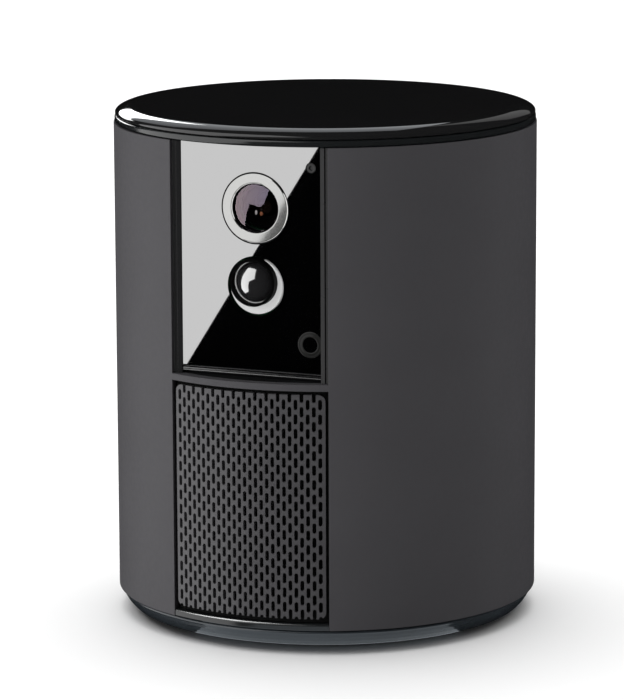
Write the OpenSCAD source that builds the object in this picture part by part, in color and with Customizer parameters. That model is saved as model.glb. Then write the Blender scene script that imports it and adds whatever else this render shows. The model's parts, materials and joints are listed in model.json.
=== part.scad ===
// Tabletop indoor security camera: an upright cylinder with a recessed window over a speaker grille.
// +Z is up, the window faces -Y, and the origin is at the centre of the plane that the feet stand on.
// "d" is a distance from the cylinder's axis towards the front, so a point at d has y = -d.

/* [Case] */
// Outer diameter of the case
case_d = 90; // [88:0.5:94]
// Height of the grey outer shell
shell_h = 100.6; // [98:0.2:106]
// Wall of the outer shell
shell_wall = 2.2; // [2:0.1:2.3]
// Width of the front cut-outs in the shell
front_w = 35; // [34:0.5:36]
// Height of the bar between the window and the grille
bar_h = 1.4; // [1.2:0.05:1.6]
// Height of the bar's top edge above the table
bar_top = 57.05; // [56:0.05:58]

/* [Top and base] */
// Height of the glossy ring under the lid
trim_h = 1.4; // [1.2:0.1:1.8]
// Thickness of the lid
lid_h = 1.9; // [1.7:0.1:2.4]
// Width of the rounding at the lid's edge
lid_round_w = 4.6; // [3.6:0.2:5]
// Height of the glossy foot ring
foot_ring_h = 3.4; // [3:0.1:4]
// Thickness of the rubber feet
foot_h = 1.5; // [1.2:0.1:2]
// Distance of the feet from the axis
foot_r = 33; // [30:0.5:35]

/* [Window] */
// Distance of the window's face from the axis
glass_d = 38; // [37.6:0.1:38.2]
// Thickness of the window
glass_t = 1.2; // [1:0.1:1.4]
// Width of the visible part of the window
glass_w = 31; // [30.6:0.2:31.4]
// Height of the lens axis above the table
lens_z = 92.1; // [91.8:0.1:92.6]
// Height of the motion sensor's ring above the table
pir_z = 75.9; // [75.6:0.1:76.2]
// Height of the infrared lamps above the table
lamp_z = 64.4; // [64:0.1:65]

/* [Grille] */
// Number of slot columns
slot_columns = 27; // [9:2:29]
// Length of a slot
slot_len = 2.2; // [2:0.05:2.3]
// Width of a slot
slot_w = 0.76; // [0.6:0.02:0.8]
// Vertical distance from slot to slot
slot_pitch = 3.05; // [3:0.05:3.2]

/* [Moving parts] */
// Turn of the privacy shutter from open to closed
shutter_turn = 75; // [74:0.5:76]
// Travel of the infrared-cut filter
filter_travel = 6; // [5.8:0.1:6.2]

/* [Hidden] */

$fn = 96;

case_r = case_d / 2;
shell_in = case_r - shell_wall;
core_r = shell_in - 0.2;
shell_z = foot_h + foot_ring_h + 0.3;
shell_top = shell_z + shell_h;
trim_z = shell_top + 0.1;
lid_z = trim_z + trim_h + 0.1;
bar_z = bar_top - bar_h;

frame_w = front_w - 0.2;
frame_wall = 0.6;
lip_t = 0.6;
lip_h = 1.85;
rim_d = glass_d + 2.6;
frame_back = glass_d - 1.8;

grille_z = shell_z + 2.4;
grille_top = bar_z - 0.8;
trim_strip_h = 1.4;

ring_in = 5.1;
ring_out = 7.3;
pir_ring_r = 6.2;
pir_collar_r = 5.1;
pir_dome_z = pir_z + 0.95;
lamp_x = 12.1;
mic_x = 12.4;
mic_z = 101;

shutter_d = glass_d - 3.8;
blade_t = 0.4;
hub_x = 8.5;
hub_z = lens_z - 9.5;
arm = [-hub_x, lens_z - hub_z];
motor_d0 = 24;
board_d = 31.2;
board_t = 1.4;

cut_d0 = 15.6;
cut_d1 = 23.6;
carrier_d = 20.6;
carrier_t = 1;
rotor_arm = 5;
rotor_z = lens_z - 9;
rotor_turn = asin(filter_travel / 2 / rotor_arm);
filter_pitch = filter_travel;

speaker_z = 31;
speaker_d = 34;
cone_r = 16;
coil_r = 6.4;

deck_z = 53.4;
deck_t = 2.4;
wall_d = 9;
screw_x = 25;
screw_y = [-12, 23];
port_z = 14;
board_z = 10.6;
button_x = 12;
button_y = 20;

// Points the children's +Z at the front, with their z = 0 at distance d from the axis
module facing(x, z, d) {
    translate([x, -d, z]) rotate([90, 0, 0]) children();
}

// A box from d0 to d1 towards the front
module front_box(x0, x1, z0, z1, d0, d1) {
    translate([x0, -d1, z0]) cube([x1 - x0, d1 - d0, z1 - z0]);
}

// A ring with its axis upright
module upright_ring(r0, r1, z0, z1) {
    translate([0, 0, z0]) difference() {
        cylinder(r = r1, h = z1 - z0);
        translate([0, 0, -1]) cylinder(r = r0, h = z1 - z0 + 2);
    }
}

// A tube that faces the front
module front_tube(x, z, r0, r1, d0, d1) {
    facing(x, z, d0) difference() {
        cylinder(r = r1, h = d1 - d0);
        translate([0, 0, -1]) cylinder(r = r0, h = d1 - d0 + 2);
    }
}

// An upright obround, centred on the origin
module obround(len, w) {
    square([w, len - w], center = true);
    for (s = [-1, 1]) translate([0, s * (len - w) / 2]) circle(d = w, $fn = 16);
}

// ---- case ----

module shell_profile() {
    c = 0.3;
    polygon([
        [shell_in, shell_z], [case_r - c, shell_z], [case_r, shell_z + c],
        [case_r, shell_top - c], [case_r - c, shell_top], [shell_in, shell_top]
    ]);
}

module body_shell() {
    color("#4a494e") difference() {
        rotate_extrude() shell_profile();
        front_box(-front_w / 2, front_w / 2, bar_top, shell_top + 1, 30, case_r + 1);
        front_box(-front_w / 2, front_w / 2, shell_z - 1, bar_z, 30, case_r + 1);
        translate([0, shell_in - 2, port_z]) rotate([-90, 0, 0]) linear_extrude(shell_wall + 4)
            rotate(90) obround(15, 9);
    }
}

module lid_profile() {
    r = case_r - 0.3;
    rise = lid_h - 0.4;
    steps = 12;
    polygon(concat(
        [[0, lid_z], [r - 0.4, lid_z], [r, lid_z + 0.4]],
        [for (i = [1:steps]) [
            r - lid_round_w * (1 - cos(90 * i / steps)),
            lid_z + 0.4 + rise * sin(90 * i / steps)
        ]],
        [[0, lid_z + lid_h]]
    ));
}

module top_lid() {
    color("#0c0c0d") {
        rotate_extrude() lid_profile();
        upright_ring(36, 38, shell_top, lid_z);
    }
}

module top_trim_ring() {
    c = 0.35;
    r = case_r - 0.2;
    color("#26282b") rotate_extrude() polygon([
        [38.1, trim_z], [r - c, trim_z], [r, trim_z + c],
        [r, trim_z + trim_h - c], [r - c, trim_z + trim_h], [38.1, trim_z + trim_h]
    ]);
}

// ---- window ----

module window_frame() {
    half = frame_w / 2;
    inner = half - frame_wall;
    rim = glass_w / 2;
    color("#1b1b1d") {
        // jambs, each with a two-facet rim that overhangs the window
        for (s = [-1, 1]) translate([0, 0, bar_top]) linear_extrude(shell_top - 0.1 - bar_top) polygon([
            [s * inner, -frame_back], [s * inner, -glass_d - 0.8], [s * rim, 0.4 - rim_d], [s * rim, -rim_d],
            [s * (inner - 0.3), -rim_d - 0.15], [s * half, -rim_d - 0.7], [s * half, -frame_back]
        ]);
        // ledge under the window
        front_box(-inner, inner, bar_top, bar_top + 1, frame_back, glass_d + lip_t);
        front_box(-inner, inner, bar_top, bar_top + lip_h, glass_d, glass_d + lip_t);
        // sill behind the shell's bar
        intersection() {
            translate([0, 0, deck_z + deck_t])
                cylinder(r = shell_in - 0.05, h = bar_top - deck_z - deck_t);
            front_box(-half, half, deck_z + deck_t, bar_top, frame_back, case_r);
        }
    }
}

module front_glass() {
    half = frame_w / 2 - frame_wall - 0.05;
    color("#050506") difference() {
        front_box(-half, half, bar_top + 1.05, shell_top - 0.2, glass_d - glass_t, glass_d);
        facing(0, lens_z, glass_d - 2) cylinder(r = ring_out + 0.2, h = 3);
        facing(0, pir_z, glass_d - 2) cylinder(r = pir_ring_r + 0.05, h = 3);
        facing(mic_x, mic_z, glass_d - 2) cylinder(r = 1.15, h = 3);
    }
}

// ---- lens ----

module lens_ring() {
    c = 0.2;
    back = 2.6;
    color("#b9babb") facing(0, lens_z, glass_d + 0.1) rotate_extrude() polygon([
        [ring_in, -back], [ring_out, -back], [ring_out, -c], [ring_out - c, 0],
        [ring_in + c, 0], [ring_in, -c]
    ]);
}

module lens_sleeve() {
    color("#101011") front_tube(0, lens_z, ring_in - 0.2, ring_in, shutter_d + 1.3, glass_d - 0.2);
}

module lens_window() {
    rim = ring_in - 0.22;
    rise = 1.2;
    ball = (rim * rim + rise * rise) / (2 * rise);
    front = glass_d - 1.6;
    color("#3a3540", 0.6) facing(0, lens_z, shutter_d + 1.3) {
        intersection() {
            translate([0, 0, front + rise - ball - shutter_d - 1.3]) sphere(r = ball);
            cylinder(r = rim, h = 5);
        }
    }
}

module lens_barrel() {
    color("#151516") facing(0, lens_z, cut_d1 + 0.9) difference() {
        cylinder(r = 4.6, h = 9.3);
        translate([0, 0, 7]) cylinder(r1 = 2.8, r2 = 4.1, h = 2.31);
        translate([0, 0, -1]) cylinder(r = 2.6, h = 9);
    }
}

module lens_elements() {
    r = 2.58;
    color("#2b3340", 0.6) for (e = [[0.6, 1.2], [3.2, 1], [6.4, 0.6]])
        facing(0, lens_z, cut_d1 + 0.9 + e[0]) {
            cylinder(r = r, h = e[1]);
            translate([0, 0, e[1]]) cylinder(r1 = r, r2 = r - 1, h = 0.3);
        }
}

module lens_holder() {
    color("#1d1d20") {
        front_tube(0, lens_z, 4.62, 7, cut_d1, board_d - 0.4);
    }
}

// ---- privacy shutter ----

// Outline of the blade and its arm, with the pivot at the origin and the arm at angle a
module blade_outline(a) {
    reach = norm(arm);
    rotate(a) {
        circle(r = 2.2);
        translate([0, -1.4]) square([reach, 2.8]);
        translate([reach, 0]) circle(r = 5.2);
    }
}

module shutter_blade() {
    closed = atan2(arm[1], arm[0]);
    color("#8f8f92") facing(hub_x, hub_z, shutter_d) linear_extrude(blade_t) difference() {
        blade_outline(closed - shutter_turn);
        circle(r = 0.76);
    }
}

module shutter_shaft() {
    color("#c8c8cc") {
        facing(hub_x, hub_z, motor_d0 + 2) cylinder(r = 0.75, h = shutter_d + blade_t - motor_d0 - 2);
        facing(hub_x, hub_z, shutter_d + blade_t) cylinder(r = 0.5, h = 1.1);
    }
}

module shutter_motor() {
    color("#77797c") facing(hub_x, hub_z, motor_d0) difference() {
        union() {
            cylinder(r = 4, h = board_d - motor_d0);
            cylinder(r = 1.9, h = shutter_d - motor_d0 - 0.5);
        }
        translate([0, 0, 1.7]) cylinder(r = 0.8, h = 12);
    }
}

module shutter_plate() {
    depth = glass_d - glass_t - shutter_d - 0.8;
    color("#202022") facing(0, lens_z, shutter_d + 0.8) difference() {
        linear_extrude(depth) {
            circle(r = 9.2);
            translate([hub_x, hub_z - lens_z]) circle(r = 3);
            polygon([[-2, -8], [hub_x - 2.6, hub_z - lens_z - 1.2], [hub_x + 2.2, hub_z - lens_z + 2], [8, 0]]);
        }
        translate([0, 0, -1]) cylinder(r = 4.9, h = 3);
        translate([0, 0, 0.5]) cylinder(r = ring_out + 0.05, h = 3);
        translate([hub_x, hub_z - lens_z, -1]) cylinder(r = 0.55, h = 2.2);
    }
}

// ---- infrared-cut filter ----

module ircut_housing() {
    w = 11;
    top = lens_z + 5;
    bottom = lens_z - 17;
    wall = 1.2;
    color("#2a2a2d") difference() {
        front_box(-w, w, bottom, top, cut_d0, cut_d1);
        front_box(-w + wall, w - wall, bottom + wall, top - wall, cut_d0 + 0.8, cut_d1 - wall);
        facing(0, lens_z, cut_d1 - wall - 1) cylinder(r = 3, h = 4);
        front_box(-4, 4, lens_z - 3.5, lens_z + 3.5, cut_d0 - 1, cut_d0 + 2);
    }
    color("#2a2a2d") {
        // pivot pin of the rotor
        facing(0, rotor_z, cut_d0 + 0.8) cylinder(r = 0.5, h = 4);
        for (x = [-10, 8.6], z = [bottom, top - 1.4])
            front_box(x, x + 1.4, z, z + 1.4, cut_d0 - 1, cut_d0);
    }
}

// The carrier slides to +X; the clear filter is beside the day filter, one pitch to -X
module ircut_carrier() {
    color("#3c3c40") facing(0, lens_z, carrier_d) linear_extrude(carrier_t) difference() {
        translate([-filter_pitch - 3.2, -6.6]) square([filter_pitch + 6.4, 9.9]);
        for (i = [0, 1]) translate([-i * filter_pitch, 0]) square([4.6, 4.6], center = true);
        translate([-filter_travel / 2, rotor_z - lens_z + rotor_arm - 0.5]) obround(2.6, 1.1);
    }
}

module ircut_filters() {
    for (i = [0, 1]) color(i == 0 ? "#6f9fb0" : "#c9d6d2", 0.6)
        facing(-i * filter_pitch, lens_z, carrier_d + 0.3) linear_extrude(0.4)
            square([4.56, 4.56], center = true);
}

module ircut_rotor() {
    pin_x = -filter_travel / 2;
    pin_z = rotor_arm * cos(rotor_turn);
    color("#6a6a6e") facing(0, rotor_z, cut_d0 + 1.2) {
        difference() {
            union() {
                cylinder(r = 2.2, h = 2.5);
                translate([0, 0, 2.5]) linear_extrude(0.8) {
                    circle(r = 1.5);
                    rotate(90 + rotor_turn) translate([0, -0.6]) square([rotor_arm, 1.2]);
                    translate([pin_x, pin_z]) circle(r = 0.8);
                }
            }
            translate([0, 0, -1]) cylinder(r = 0.56, h = 6);
        }
        translate([pin_x, pin_z, 3.3]) cylinder(r = 0.4, h = 1.9);
    }
}

module ircut_coil() {
    color("#a5672e") front_tube(0, rotor_z - 5.2, 0.7, 1.55, cut_d0 + 0.8, cut_d0 + 5);
}

module image_sensor() {
    color("#2f3b44") front_box(-3.2, 3.2, lens_z - 2.8, lens_z + 2.8, cut_d0 - 1, cut_d0 + 0.2);
}

module sensor_board() {
    color("#1f4a35") front_box(-12, 12, lens_z - 18, lens_z + 6, cut_d0 - 2.2, cut_d0 - 1);
}

// ---- motion sensor ----

module pir_ring() {
    c = 0.2;
    r = pir_ring_r;
    color("#c9cacb") facing(0, pir_z, glass_d - glass_t) difference() {
        rotate_extrude() polygon([
            [0, 0], [r, 0], [r, glass_t - 0.1], [r - c, glass_t + 0.1], [0, glass_t + 0.1]
        ]);
        translate([0, pir_dome_z - pir_z, -1]) cylinder(r = pir_collar_r + 0.02, h = 4);
    }
}

module pir_collar() {
    r = pir_collar_r;
    h = glass_d + 2 - board_d - board_t;
    color("#0e0e0f") facing(0, pir_dome_z, board_d + board_t) difference() {
        rotate_extrude() polygon([[0, 0], [r, 0], [r, h - 0.4], [r - 0.3, h], [0, h]]);
        translate([0, 0, -1]) cylinder(r = r - 0.55, h = h + 2);
    }
}

module pir_dome() {
    rim = pir_collar_r - 0.6;
    rise = 2.4;
    ball = (rim * rim + rise * rise) / (2 * rise);
    skirt = glass_d - board_d - board_t;
    color("#141416") facing(0, pir_dome_z, board_d + board_t) difference() {
        union() {
            cylinder(r = rim, h = skirt);
            intersection() {
                translate([0, 0, skirt + rise - ball]) sphere(r = ball);
                translate([0, 0, skirt]) cylinder(r = rim, h = rise + 1);
            }
        }
        translate([0, 0, -1]) cylinder(r = rim - 0.6, h = skirt);
    }
}

module pir_sensor() {
    color("#b5b7b9") facing(0, pir_dome_z, board_d + board_t) cylinder(r = 3.2, h = 2.2);
}

// ---- lamps, microphone, front board ----

module lamp_cups() {
    color("#2c2d2f") for (s = [-1, 1]) facing(s * lamp_x, lamp_z, board_d + board_t) difference() {
        cylinder(r = 2.75, h = 3.9);
        translate([0, 0, 1.2]) cylinder(r1 = 1.4, r2 = 2.4, h = 2.71);
        translate([0, 0, -1]) cylinder(r = 1.4, h = 4);
    }
}

module ir_lamps() {
    color("#dfe3e6", 0.7) for (s = [-1, 1]) facing(s * lamp_x, lamp_z, board_d + board_t) {
        cylinder(r = 1.3, h = 1.6);
        translate([0, 0, 1.6]) intersection() {
            sphere(r = 1.3);
            cylinder(r = 1.3, h = 2);
        }
    }
}

module microphone() {
    color("#4a4b4e") facing(mic_x, mic_z, board_d + board_t) {
        cylinder(r = 1.5, h = 1.2);
        // waist that the shutter's blade swings past
        translate([0, 0, 1.2]) cylinder(r = 0.6, h = 1.2);
        translate([0, 0, 2.4]) difference() {
            cylinder(r = 1.05, h = 2.8);
            translate([0, 0, 0.6]) cylinder(r = 0.5, h = 3);
        }
    }
}

module front_board() {
    color("#1d4d38") difference() {
        front_box(-19, 19, deck_z + deck_t + 2.2, shell_top - 3.2, board_d, board_d + board_t);
        facing(0, lens_z, board_d - 1) cylinder(r = 5.4, h = 4);
        facing(hub_x, hub_z, board_d - 1) cylinder(r = 2.1, h = 4);
    }
}

// ---- speaker ----

// Panel outline seen from the front, with rounded corners
module grille_outline() {
    w = front_w - 1.5;
    h = grille_top - grille_z;
    r = 1.4;
    for (x = [-1, 1], z = [grille_z + r, grille_top - r]) translate([x * (w / 2 - r), z]) circle(r = r, $fn = 32);
    translate([-w / 2, grille_z + r]) square([w, h - 2 * r]);
    translate([r - w / 2, grille_z]) square([w - 2 * r, h]);
}

// The slots stand in staggered columns, and the panel's top and bottom edges cut through them
module grille_panel() {
    step = (front_w - 3.54) / (slot_columns - 1);
    rows = ceil((grille_top - grille_z) / slot_pitch);
    color("#5a5a5d") difference() {
        intersection() {
            upright_ring(case_r - 1.5, case_r - 0.5, grille_z, grille_top);
            translate([0, -30, 0]) rotate([90, 0, 0]) linear_extrude(20) grille_outline();
        }
        translate([0, -30, 0]) rotate([90, 0, 0]) linear_extrude(20)
            for (i = [0:slot_columns - 1], k = [0:rows - 1])
                translate([
                    (i - (slot_columns - 1) / 2) * step,
                    grille_z + 0.95 + (k - (1 - i % 2) / 2) * slot_pitch
                ]) obround(slot_len, slot_w);
    }
}

module acoustic_mesh() {
    z0 = shell_z + trim_strip_h + 0.1;
    z1 = bar_z - 0.15;
    color("#0a0a0a") intersection() {
        upright_ring(case_r - 2, case_r - 1.6, z0, z1);
        front_box(0.3 - front_w / 2, front_w / 2 - 0.3, z0, z1, 30, case_r);
    }
}

module lower_trim() {
    color("#0e0e10") intersection() {
        upright_ring(core_r + 0.3, case_r - 0.2, shell_z, shell_z + trim_strip_h);
        front_box(-front_w / 2 + 0.1, front_w / 2 - 0.1, shell_z, shell_z + trim_strip_h, 30, case_r);
    }
}

module speaker_basket() {
    color("#3b3d40") {
        facing(0, speaker_z, speaker_d - 1.2) difference() {
            cylinder(r = 20, h = 1.2);
            translate([0, 0, -1]) cylinder(r = 18.4, h = 4);
        }
        facing(0, speaker_z, speaker_d - 11.4) difference() {
            cylinder(r1 = 12.6, r2 = 19.6, h = 10.2);
            translate([0, 0, -0.01]) cylinder(r1 = 11.6, r2 = 18.4, h = 10.22);
        }
        facing(0, speaker_z, speaker_d - 12.4) difference() {
            cylinder(r = 12.6, h = 1);
            translate([0, 0, -1]) cylinder(r = coil_r + 1.6, h = 4);
        }
    }
}

module speaker_cone() {
    wall = 0.5;
    color("#262628") facing(0, speaker_z, speaker_d - 8) {
        difference() {
            cylinder(r1 = coil_r + 0.2, r2 = cone_r, h = 6.5);
            translate([0, 0, -0.01]) cylinder(r1 = coil_r - 0.4, r2 = cone_r - wall, h = 6.52);
        }
        // dust cap
        intersection() {
            translate([0, 0, -4]) sphere(r = 8);
            translate([0, 0, 0.8]) cylinder(r = coil_r - 0.2, h = 4);
        }
        cylinder(r = coil_r, h = 0.8);
    }
}

module speaker_coil() {
    color("#a5672e") front_tube(0, speaker_z, coil_r - 0.5, coil_r, speaker_d - 15, speaker_d - 8);
}

module speaker_surround() {
    color("#18181a") facing(0, speaker_z, speaker_d - 1.2) rotate_extrude() difference() {
        translate([17.35, 0]) circle(r = 1.05, $fn = 48);
        translate([17.35, 0]) circle(r = 0.7, $fn = 48);
        translate([15, -3]) square([5, 3]);
    }
}

module speaker_magnet() {
    color("#8b8d90") facing(0, speaker_z, speaker_d - 22.4) difference() {
        cylinder(r = 12.6, h = 10);
        translate([0, 0, 4]) difference() {
            cylinder(r = coil_r + 1, h = 7);
            translate([0, 0, -1]) cylinder(r = coil_r - 1.2, h = 9);
        }
    }
}

module speaker_gasket() {
    color("#2e2e30") front_tube(0, speaker_z, 18.5, 20.5, speaker_d, speaker_d + 1.6);
}

// ---- inner frame and electronics ----

module chassis() {
    wall_w = 31;
    ring_z = shell_top - 3;
    color("#303134") {
        difference() {
            translate([0, 0, deck_z]) cylinder(r = core_r, h = deck_t);
            translate([5, 31.5, deck_z - 1]) cube([10, 3.5, deck_t + 2]);
        }
        // ring under the lid, open behind the window
        difference() {
            upright_ring(36, core_r, ring_z, shell_top);
            front_box(-18, 18, ring_z - 1, shell_top + 1, 30, case_r);
        }
        front_box(-wall_w, wall_w, deck_z + deck_t, ring_z, wall_d, wall_d + 2);
        for (x = [-25, 25], z = [66, 96]) front_box(x - 3, x + 3, z - 3, z + 3, wall_d - 4, wall_d);
        for (s = [-1, 1]) {
            // upright ribs that carry the front board
            front_box(s * 18 - 1.5, s * 18 + 1.5, deck_z + deck_t, ring_z, wall_d + 2, board_d);
            // legs down to the base plate, with the screws' holes
            for (y = screw_y) translate([s * screw_x, y, shell_z + 2]) difference() {
                translate([-3, -3, 0]) cube([6, 6, deck_z - shell_z - 2]);
                translate([0, 0, -1]) cylinder(r = 1.36, h = 9);
            }
        }
        // posts up to the lid's ring
        for (a = [60, 120]) rotate(a) translate([38.5, 0, deck_z + deck_t])
            cylinder(r = 2.4, h = ring_z - deck_z - deck_t);
        // stop the wall's top with a web under the ring
        for (s = [-1, 1])
            front_box(min(s * 29.3, s * 38), max(s * 29.3, s * 38), ring_z - 6, ring_z, wall_d - 10, wall_d);
        // bracket behind the speaker
        front_box(-14, 14, speaker_z - 14, deck_z, speaker_d - 25, speaker_d - 22.4);
    }
}

module main_board() {
    color("#1d4d38") front_box(-29, 29, deck_z + deck_t + 3, shell_top - 6, wall_d - 5.6, wall_d - 4);
}

module board_chips() {
    d = wall_d - 5.6;
    color("#202022") {
        for (c = [[-20, 92, 7, 7], [16, 96, 9, 6], [18, 66, 8, 8], [-20, 66, 6, 10]])
            front_box(c[0], c[0] + c[2], c[1], c[1] + c[3] - 3, d - 1.2, d);
        front_box(-8, 8, 72, 88, d - 1.4, d);
    }
}

module heat_sink() {
    d = wall_d - 7;
    fins = 7;
    color("#9fa2a6") {
        front_box(-12, 12, 69, 91, d - 2, d);
        for (i = [0:fins - 1]) front_box(-12 + i * 3.85, -11.1 + i * 3.85, 69, 91, d - 11, d - 2);
    }
}

module antenna() {
    color("#c8a24a") for (s = [-1, 1])
        translate([s * 24 - 5, 27, 88]) cube([10, 1, 8]);
    color("#303134") for (s = [-1, 1])
        translate([s * 24 - 1, -wall_d + 5.6, 91]) cube([2, 27 + wall_d - 5.6, 2]);
}

module ribbon_cables() {
    color("#d8d3c4") {
        // from the sensor board down to the chassis wall
        front_box(-4, 4, lens_z - 21, lens_z - 18, wall_d + 4, wall_d + 4.3);
        front_box(-4, 4, lens_z - 18.3, lens_z - 18, wall_d + 4.3, cut_d0 - 1);
        front_box(-4, 4, lens_z - 21.3, lens_z - 21, wall_d + 2, wall_d + 4.3);
        // from the main board down through the deck to the power board
        translate([6, 33, board_z]) cube([8, 0.3, 58]);
        translate([6, -wall_d + 5.6, board_z + 57.7]) cube([8, 33 + wall_d - 5.6, 0.3]);
    }
}

module power_board() {
    color("#1d4d38") translate([-20, 6, board_z - 1.6]) cube([40, 29.6, 1.6]);
}

module usb_socket() {
    w = 9;
    h = 3.4;
    color("#b9bbbe") translate([0, 32, port_z]) difference() {
        translate([-w / 2, -4, -h / 2]) cube([w, 7.4, h]);
        translate([-w / 2 + 0.4, -3, -h / 2 + 0.4]) cube([w - 0.8, 8, h - 0.8]);
    }
    color("#101011") translate([-3, 29.2, port_z - 0.4]) cube([6, 5, 0.8]);
    color("#b9bbbe") translate([-3, 28, board_z]) cube([6, 6, port_z - h / 2 - board_z]);
}

module port_recess() {
    color("#1b1b1d") difference() {
        translate([0, 35.6, port_z]) rotate([-90, 0, 0]) linear_extrude(6.2) rotate(90) obround(17, 11);
        translate([0, 36.8, port_z]) rotate([-90, 0, 0]) linear_extrude(12) rotate(90) obround(15, 9);
        translate([-4.6, 33, port_z - 1.8]) cube([9.2, 6, 3.6]);
    }
}

// ---- base ----

module base_ring() {
    top = shell_z - 0.3;
    color("#33373b") rotate_extrude() polygon([
        [38, foot_h], [41.6, foot_h], [42.2, foot_h + 0.3], [42.6, foot_h + 0.9],
        [44.3, top - 0.4], [44.1, top], [38, top]
    ]);
}

module base_plate() {
    plate_r = 37.9;
    color("#26272a") difference() {
        union() {
            translate([0, 0, foot_h]) cylinder(r = plate_r, h = 2);
            upright_ring(35.9, plate_r, foot_h + 2, shell_z);
            upright_ring(35.9, core_r, shell_z, shell_z + 2);
            for (s = [-1, 1], y = screw_y) translate([s * screw_x, y, foot_h + 2])
                cylinder(r = 3, h = shell_z - foot_h);
            // standoffs of the power board
            for (s = [-1, 1], y = [9, 29]) translate([s * 17, y, foot_h + 2])
                cylinder(r = 1.5, h = board_z - 1.6 - foot_h - 2);
        }
        translate([button_x, button_y, 0]) cylinder(r = 1.9, h = 12);
        for (s = [-1, 1], y = screw_y) translate([s * screw_x, y, 0]) {
            cylinder(r = 1.4, h = 20);
            cylinder(r = 2.6, h = foot_h + 1.2);
        }
    }
}

module base_screws() {
    color("#8b8d90") for (s = [-1, 1], y = screw_y) translate([s * screw_x, y, foot_h + 0.2]) difference() {
        union() {
            cylinder(r = 2.4, h = 1);
            cylinder(r = 1.35, h = 12);
        }
        translate([0, 0, -1]) cylinder(r = 1.1, h = 1.6, $fn = 6);
    }
}

module feet() {
    color("#1a1a1b") for (a = [45:90:315]) rotate(a) translate([foot_r, 0, 0]) {
        cylinder(r1 = 4, r2 = 4.4, h = 0.4);
        translate([0, 0, 0.4]) cylinder(r = 4.4, h = foot_h - 0.4);
    }
}

// ---- reset button ----

module reset_button() {
    color("#3a3b3e") translate([button_x, button_y, 0]) {
        translate([0, 0, foot_h + 0.3]) cylinder(r = 1.6, h = 4.2);
        translate([0, 0, foot_h + 2.4]) cylinder(r = 2.6, h = 0.8);
    }
}

module reset_plunger() {
    color("#c0403a") translate([button_x, button_y, foot_h + 4.8]) cylinder(r = 0.9, h = 1.3);
}

module reset_switch() {
    top = board_z - 1.6;
    color("#1b1b1d") translate([button_x, button_y, 0]) difference() {
        translate([-2.6, -2.6, foot_h + 5.2]) cube([5.2, 5.2, top - foot_h - 5.2]);
        translate([0, 0, foot_h + 5]) cylinder(r = 0.95, h = top - foot_h - 5.6);
    }
}

body_shell();
top_lid();
top_trim_ring();
window_frame();
front_glass();
lens_ring();
lens_sleeve();
lens_window();
lens_barrel();
lens_elements();
lens_holder();
shutter_plate();
shutter_blade();
shutter_shaft();
shutter_motor();
ircut_housing();
ircut_carrier();
ircut_filters();
ircut_rotor();
ircut_coil();
image_sensor();
sensor_board();
pir_ring();
pir_collar();
pir_dome();
pir_sensor();
lamp_cups();
ir_lamps();
microphone();
front_board();
grille_panel();
acoustic_mesh();
lower_trim();
speaker_basket();
speaker_cone();
speaker_coil();
speaker_surround();
speaker_magnet();
speaker_gasket();
chassis();
main_board();
board_chips();
heat_sink();
antenna();
ribbon_cables();
power_board();
usb_socket();
port_recess();
base_ring();
base_plate();
base_screws();
feet();
reset_button();
reset_plunger();
reset_switch();
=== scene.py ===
"""Looks of the tabletop security camera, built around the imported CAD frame. Lengths in mm unless said."""
import json
import math

import bmesh
import bpy
from mathutils import Matrix, Vector, geometry

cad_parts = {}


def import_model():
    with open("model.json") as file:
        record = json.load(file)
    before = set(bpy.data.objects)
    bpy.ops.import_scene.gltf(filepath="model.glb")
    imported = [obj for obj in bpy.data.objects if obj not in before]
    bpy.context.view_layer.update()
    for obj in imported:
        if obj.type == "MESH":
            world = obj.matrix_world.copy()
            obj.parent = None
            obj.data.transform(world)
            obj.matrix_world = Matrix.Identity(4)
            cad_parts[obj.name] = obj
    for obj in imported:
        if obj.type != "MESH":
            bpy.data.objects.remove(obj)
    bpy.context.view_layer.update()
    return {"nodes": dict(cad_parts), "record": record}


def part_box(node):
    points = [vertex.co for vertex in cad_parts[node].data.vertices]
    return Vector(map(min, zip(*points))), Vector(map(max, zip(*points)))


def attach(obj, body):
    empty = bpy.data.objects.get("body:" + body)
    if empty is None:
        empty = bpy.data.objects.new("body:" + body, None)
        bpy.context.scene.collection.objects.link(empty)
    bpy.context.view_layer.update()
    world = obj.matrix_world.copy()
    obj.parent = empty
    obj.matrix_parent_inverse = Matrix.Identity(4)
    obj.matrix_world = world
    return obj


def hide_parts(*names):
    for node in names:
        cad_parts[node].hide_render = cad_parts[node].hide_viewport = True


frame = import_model()
NODES = frame["nodes"]
MM = 0.001

# ---------------------------------------------------------------- camera

AZ = math.radians(22.33)     # the photograph is taken from this far to the right of the front
CASE_R = 0.045               # m
AIM = Vector((0, 0, 0.06033))         # the spot on the case's axis that the next two are counted from, in m
DISTANCE, ELEV = 19.2116 * CASE_R, 0.18506
PITCH, YAW, ROLL = 0.19017, -0.003562, -0.004385        # radians
SENSOR_MM, FOCAL_MM = 36, 207.14163


def turn(v):
    """Turns a vector given with -Y towards the camera into the object's frame."""
    c, s = math.cos(AZ), math.sin(AZ)
    return Vector((c * v[0] - s * v[1], s * v[0] + c * v[1], v[2]))


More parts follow.
